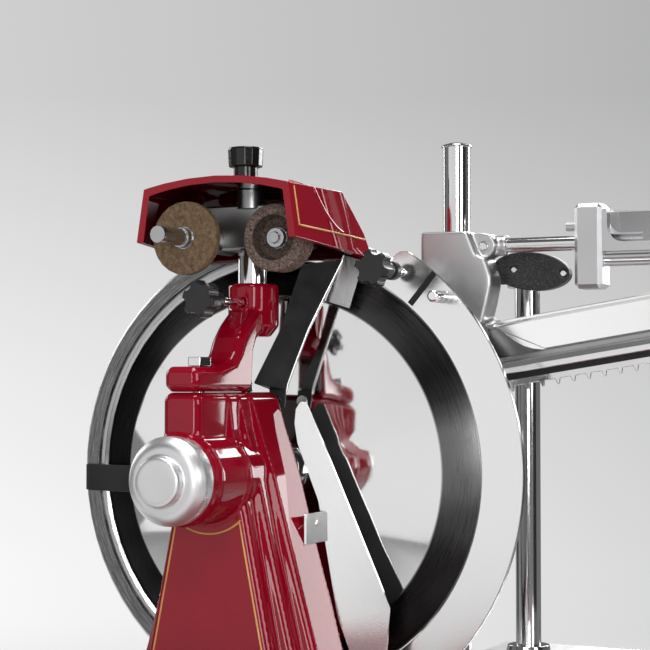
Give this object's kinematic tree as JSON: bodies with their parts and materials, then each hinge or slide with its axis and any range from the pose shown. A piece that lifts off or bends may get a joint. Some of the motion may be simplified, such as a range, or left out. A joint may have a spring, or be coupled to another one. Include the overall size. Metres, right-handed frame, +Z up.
{
  "type": "flywheel meat slicer",
  "caption": "Hand cranked flywheel meat slicer with a round blade in a guard ring, a sliding meat carriage with a toothed press, and a built-in sharpener under a red cover.",
  "frame": {"origin": "middle of the bounding box, on the ground", "axes": "+Z up, +X to the right of the operator, +Y away from the operator; the blade turns about Y and the carriage travels along X"},
  "size_m": [0.7204, 0.706, 0.739],
  "materials": {
    "red_enamel": "gloss",
    "polished_steel": "polished",
    "mirror_blade": "mirror polished",
    "satin_aluminium": "satin",
    "dark_steel": "oiled",
    "bronze": "machined",
    "black_plastic": "satin",
    "black_rubber": "matt",
    "tan_stone": "matt, coarse",
    "brown_stone": "matt, coarse"
  },
  "bodies": {
    "frame": {"base_casting": "red_enamel", "blade_bearing": "bronze", "bracket_bolt": "polished_steel", "column_bolt": "polished_steel", "column_casting": "red_enamel", "column_rear_cover": "red_enamel", "deflector_pin": "polished_steel", "drive_chain": "dark_steel", "flywheel_bush": "bronze", "foot_front_left": "black_rubber", "foot_front_right": "black_rubber", "foot_rear_left": "black_rubber", "foot_rear_right": "black_rubber", "guard_plate": "polished_steel", "guard_ring": "polished_steel", "hub_cap": "satin_aluminium", "lower_deflector": "polished_steel", "rail_bracket_left": "satin_aluminium", "rail_bracket_right": "satin_aluminium", "rail_front": "polished_steel", "rail_rear": "polished_steel", "ring_arm": "black_plastic", "sharpener_bracket": "red_enamel", "slice_tray": "polished_steel", "swing_arm_pin": "polished_steel"},
    "flywheel": {"flywheel": "red_enamel", "handle_spindle": "polished_steel", "crankshaft": "polished_steel", "drive_gear": "dark_steel"},
    "grip": {"handle_grip": "black_plastic"},
    "idler": {"pinion_shaft": "dark_steel", "lower_sprocket": "dark_steel"},
    "blade": {"blade": "mirror_blade", "blade_shaft": "polished_steel", "upper_sprocket": "dark_steel"},
    "carriage": {"carriage": "satin_aluminium"},
    "swing_arm": {"swing_arm": "dark_steel"},
    "table": {"meat_table": "polished_steel", "press_column_front": "polished_steel", "press_column_rear": "polished_steel"},
    "feed_screw": {"lead_screw": "polished_steel", "feed_handwheel": "black_plastic"},
    "thickness_dial": {"thickness_dial": "satin_aluminium"},
    "press": {"press_bracket": "satin_aluminium", "press_rod": "polished_steel", "press_arm": "satin_aluminium", "press_comb": "polished_steel"},
    "press_handle": {"press_handle": "black_plastic"},
    "press_end": {"press_end_block": "polished_steel"},
    "sharpener": {"sharpener_post": "polished_steel", "sharpener_head": "satin_aluminium", "sharpener_cover": "red_enamel", "cup_stone_spindle": "polished_steel"},
    "cover_knob": {"cover_knob": "black_plastic"},
    "push_pin": {"push_pin": "polished_steel"},
    "flat_stone": {"flat_stone": "tan_stone"},
    "cup_stone": {"cup_stone": "brown_stone"},
    "post_knob": {"post_knob": "black_plastic"},
    "guard_knob": {"guard_knob": "black_plastic"},
    "deflector": {"upper_deflector": "polished_steel"}
  },
  "joints": [
    {"name": "flywheel_turn", "type": "hinge", "parent": "frame", "child": "flywheel", "pos_m": [0.11975, -0.203, 0.195], "axis": [0, 1, 0], "continuous": true},
    {"name": "grip_turn", "type": "hinge", "parent": "flywheel", "child": "grip", "pos_m": [0.19768, -0.303, 0.04843], "axis": [0, 1, 0], "continuous": true},
    {"name": "idler_turn", "type": "hinge", "parent": "frame", "child": "idler", "pos_m": [0.04775, -0.103, 0.195], "axis": [0, 1, 0], "continuous": true},
    {"name": "blade_turn", "type": "hinge", "parent": "frame", "child": "blade", "pos_m": [-0.03025, -0.103, 0.5], "axis": [0, 1, 0], "continuous": true},
    {"name": "carriage_slide", "type": "slide", "parent": "frame", "child": "carriage", "axis": [1, 0, 0], "range_m": [-0.22, 0]},
    {"name": "swing_turn", "type": "hinge", "parent": "frame", "child": "swing_arm", "pos_m": [0.11975, -0.013, 0.065], "axis": [0, 1, 0], "range_deg": [-60.5, 0]},
    {"name": "table_feed", "type": "slide", "parent": "carriage", "child": "table", "axis": [0, 1, 0], "range_m": [0, 0.08]},
    {"name": "feed_screw_turn", "type": "hinge", "parent": "carriage", "child": "feed_screw", "pos_m": [0.20475, 0.297, 0.333], "axis": [0, 1, 0], "range_deg": [0, 1441]},
    {"name": "thickness_dial_turn", "type": "hinge", "parent": "carriage", "child": "thickness_dial", "pos_m": [0.31975, 0.017, 0.308], "axis": [0, 1, 0], "range_deg": [0, 300]},
    {"name": "press_drop", "type": "slide", "parent": "table", "child": "press", "axis": [0, 0, 1], "range_m": [-0.19, 0]},
    {"name": "press_handle_turn", "type": "hinge", "parent": "press", "child": "press_handle", "pos_m": [0.10755, 0.057, 0.64], "axis": [0, 1, 0], "range_deg": [-15, 25]},
    {"name": "press_end_slide", "type": "slide", "parent": "press", "child": "press_end", "axis": [1, 0, 0], "range_m": [-0.03, 0]},
    {"name": "sharpener_lift", "type": "slide", "parent": "frame", "child": "sharpener", "axis": [0, 0, 1], "range_m": [0, 0.015]},
    {"name": "cover_knob_turn", "type": "hinge", "parent": "sharpener", "child": "cover_knob", "pos_m": [-0.03025, -0.0634, 0.72], "axis": [0, 0, 1], "continuous": true},
    {"name": "push_pin_press", "type": "slide", "parent": "sharpener", "child": "push_pin", "axis": [0, 1, 0], "range_m": [0, 0.004], "stiffness_N_per_m": 300},
    {"name": "flat_stone_turn", "type": "hinge", "parent": "push_pin", "child": "flat_stone", "pos_m": [-0.05775, -0.093, 0.6642], "axis": [0, 1, 0], "continuous": true},
    {"name": "cup_stone_turn", "type": "hinge", "parent": "sharpener", "child": "cup_stone", "pos_m": [0.00025, -0.073, 0.6642], "axis": [0, 1, 0], "continuous": true},
    {"name": "post_knob_turn", "type": "hinge", "parent": "frame", "child": "post_knob", "pos_m": [-0.03025, -0.103, 0.6203], "axis": [0, 1, 0], "continuous": true},
    {"name": "guard_knob_turn", "type": "hinge", "parent": "frame", "child": "guard_knob", "pos_m": [0.06444, -0.043, 0.64251], "axis": [0, 1, 0], "continuous": true},
    {"name": "deflector_swing", "type": "hinge", "parent": "frame", "child": "deflector", "pos_m": [-0.01825, -0.033, 0.552], "axis": [0, 1, 0], "range_deg": [0, 8]}
  ],
  "couplings": [
    {"joint": "idler_turn", "follows": "flywheel_turn", "ratio": -3},
    {"joint": "blade_turn", "follows": "flywheel_turn", "ratio": -3},
    {"joint": "swing_turn", "follows": "carriage_slide", "rad_per_m": 4.76},
    {"joint": "feed_screw_turn", "follows": "table_feed", "rad_per_m": 314.16}
  ]
}
